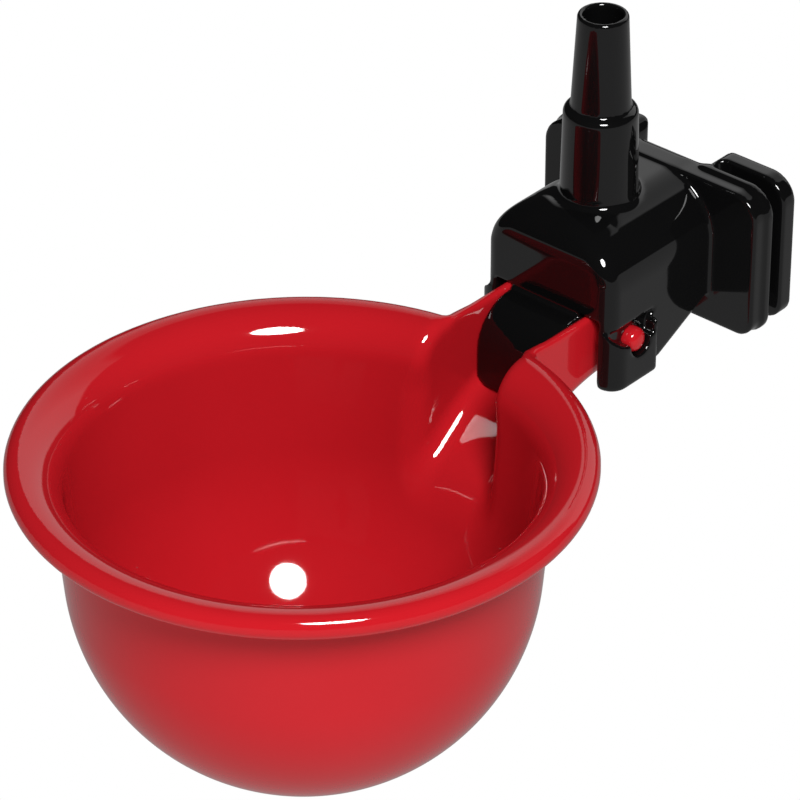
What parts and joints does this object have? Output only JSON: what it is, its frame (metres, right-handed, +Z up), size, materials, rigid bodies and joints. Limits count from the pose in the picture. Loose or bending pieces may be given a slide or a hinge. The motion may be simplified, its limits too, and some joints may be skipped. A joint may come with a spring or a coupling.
{
  "type": "poultry_drinking_cup",
  "caption": "Red round drinking cup for poultry, hung on two pins in a black valve body with an upright hose spigot and a hooked clip for cage wire; it tips as it fills and shuts its own water off.",
  "frame": {"origin": "middle of the flat back of the clip plate, where the part lies against the cage wire", "axes": "X to the bird's right, Y from the cup towards the cage, Z up along the hose spigot"},
  "size_m": [0.09, 0.1382, 0.1019],
  "materials": {
    "red_plastic": "gloss",
    "black_plastic": "gloss",
    "seal_rubber": "matt",
    "spring_steel": "satin"
  },
  "bodies": {
    "body": {"valve_body": "black_plastic", "lift_spring": "spring_steel"},
    "cup": {"drinking_cup": "red_plastic", "seal_pad": "seal_rubber"}
  },
  "joints": [
    {"name": "cup_tilt", "type": "hinge", "parent": "body", "child": "cup", "pos_m": [0, -0.0232, -0.00725], "axis": [1, 0, 0], "range_deg": [0, 4], "stiffness_Nm_per_rad": 0.08, "springref_deg": -20.05, "deforming": ["lift_spring"]}
  ]
}
